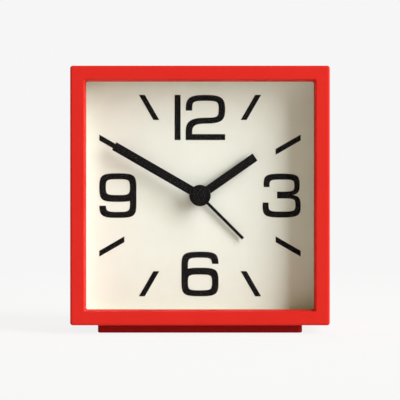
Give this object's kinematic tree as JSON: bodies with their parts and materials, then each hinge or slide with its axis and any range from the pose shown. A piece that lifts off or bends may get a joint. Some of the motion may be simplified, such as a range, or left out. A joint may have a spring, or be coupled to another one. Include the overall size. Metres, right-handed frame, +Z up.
{
  "type": "analog alarm clock",
  "caption": "Square desk alarm clock with a deep rim, a recessed dial with bar marks and large numerals, black hands, a low foot and a battery quartz movement.",
  "frame": {"origin": "middle of the resting face under the foot", "axes": "+Z up, -Y out of the dial towards the reader, +X to the reader's right"},
  "size_m": [0.09, 0.0494, 0.0931],
  "materials": {
    "red_plastic": "satin",
    "black_plastic": "fine texture",
    "clear_lens": "clear, polished",
    "cream_dial": "matt",
    "black_ink": "matt print",
    "hand_black": "semi-matt paint",
    "cap_black": "semi-gloss",
    "housing_grey": "moulded",
    "gear_white": "moulded",
    "gear_amber": "moulded",
    "shaft_brass": "turned",
    "spring_brass": "rolled strip",
    "lamination_steel": "stamped",
    "magnet_black": "sintered",
    "copper_wire": "wound enamelled wire",
    "bobbin_plastic": "moulded",
    "board_green": "lacquered",
    "chip_black": "moulded resin",
    "crystal_can": "drawn can",
    "contact_steel": "nickel plated",
    "cell_sleeve": "printed sleeve",
    "screw_steel": "zinc plated",
    "pad_rubber": "matt"
  },
  "bodies": {
    "case": {"front_bezel": "red_plastic", "case_body": "red_plastic", "base_foot": "red_plastic", "foot_pad": "pad_rubber", "lens": "clear_lens", "dial_spacer": "cream_dial", "dial_plate": "cream_dial", "dial_markings": "black_ink", "rear_cover": "black_plastic", "rear_cover_screws": "screw_steel", "movement_front": "housing_grey", "movement_back": "housing_grey", "housing_screws": "screw_steel", "movement_screws": "screw_steel", "motor_stator": "lamination_steel", "coil_core": "lamination_steel", "coil_bobbin": "bobbin_plastic", "motor_coil": "copper_wire", "alarm_contact": "spring_brass", "circuit_board": "board_green", "control_chip": "chip_black", "quartz_crystal": "crystal_can", "buzzer": "black_plastic", "snooze_switch": "black_plastic", "battery": "cell_sleeve", "positive_contact": "contact_steel", "negative_contact": "contact_steel"},
    "minute_train": {"minute_hand": "hand_black", "hand_cap": "cap_black", "minute_arbor": "shaft_brass", "clutch_washer": "spring_brass"},
    "hour_train": {"hour_hand": "hand_black", "hour_wheel": "gear_white"},
    "alarm_train": {"alarm_hand": "hand_black", "alarm_wheel": "gear_amber"},
    "motion_work": {"motion_wheel": "gear_white"},
    "time_setting": {"time_set_shaft": "gear_white", "time_set_knob": "black_plastic"},
    "alarm_setting": {"alarm_set_shaft": "gear_amber", "alarm_set_knob": "black_plastic"},
    "motor_rotor": {"rotor_pinion": "gear_white", "rotor_magnet": "magnet_black"},
    "second_wheel_body": {"second_wheel": "gear_white"},
    "third_wheel_body": {"third_wheel": "gear_white"},
    "center_wheel_body": {"center_wheel": "gear_amber"},
    "snooze_press": {"snooze_button": "black_plastic", "switch_plunger": "bobbin_plastic"},
    "alarm_switch": {"alarm_slider": "black_plastic", "slider_wiper": "spring_brass"},
    "battery_door_body": {"battery_door": "black_plastic"}
  },
  "joints": [
    {"name": "minute_spin", "type": "hinge", "parent": "case", "child": "minute_train", "pos_m": [0, 0, 0.0481], "axis": [0, 1, 0], "continuous": true},
    {"name": "hour_spin", "type": "hinge", "parent": "case", "child": "hour_train", "pos_m": [0, 0, 0.0481], "axis": [0, 1, 0], "continuous": true},
    {"name": "alarm_spin", "type": "hinge", "parent": "case", "child": "alarm_train", "pos_m": [0, 0, 0.0481], "axis": [0, 1, 0], "continuous": true},
    {"name": "motion_spin", "type": "hinge", "parent": "case", "child": "motion_work", "pos_m": [0.00636, 0, 0.03792], "axis": [0, 1, 0], "continuous": true},
    {"name": "time_knob_spin", "type": "hinge", "parent": "case", "child": "time_setting", "pos_m": [0.0157, 0, 0.04446], "axis": [0, 1, 0], "continuous": true},
    {"name": "alarm_knob_spin", "type": "hinge", "parent": "case", "child": "alarm_setting", "pos_m": [-0.01559, 0, 0.0445], "axis": [0, 1, 0], "continuous": true},
    {"name": "rotor_spin", "type": "hinge", "parent": "case", "child": "motor_rotor", "pos_m": [0.01702, 0, 0.063], "axis": [0, 1, 0], "continuous": true},
    {"name": "second_spin", "type": "hinge", "parent": "case", "child": "second_wheel_body", "pos_m": [0.0052, 0, 0.06509], "axis": [0, 1, 0], "continuous": true},
    {"name": "third_spin", "type": "hinge", "parent": "case", "child": "third_wheel_body", "pos_m": [-0.0072, 0, 0.06057], "axis": [0, 1, 0], "continuous": true},
    {"name": "center_spin", "type": "hinge", "parent": "case", "child": "center_wheel_body", "pos_m": [0, 0, 0.0481], "axis": [0, 1, 0], "continuous": true},
    {"name": "snooze_slide", "type": "slide", "parent": "case", "child": "snooze_press", "axis": [0, -1, 0], "range_m": [0, 0.001], "stiffness_N_per_m": 400, "springref_m": -0.0005},
    {"name": "alarm_slide", "type": "slide", "parent": "case", "child": "alarm_switch", "axis": [1, 0, 0], "range_m": [0, 0.004]},
    {"name": "battery_door_hinge", "type": "hinge", "parent": "case", "child": "battery_door_body", "pos_m": [0, 0.0201, 0.01007], "axis": [-1, 0, 0], "range_deg": [0, 90]}
  ],
  "couplings": [
    {"joint": "hour_spin", "follows": "minute_spin", "ratio": 0.083333},
    {"joint": "motion_spin", "follows": "minute_spin", "ratio": -0.33333},
    {"joint": "time_knob_spin", "follows": "minute_spin", "ratio": 1.25},
    {"joint": "alarm_knob_spin", "follows": "alarm_spin", "ratio": -1.5},
    {"joint": "second_spin", "follows": "rotor_spin", "ratio": -0.25},
    {"joint": "third_spin", "follows": "rotor_spin", "ratio": 0.055556},
    {"joint": "center_spin", "follows": "rotor_spin", "ratio": -0.011111}
  ]
}
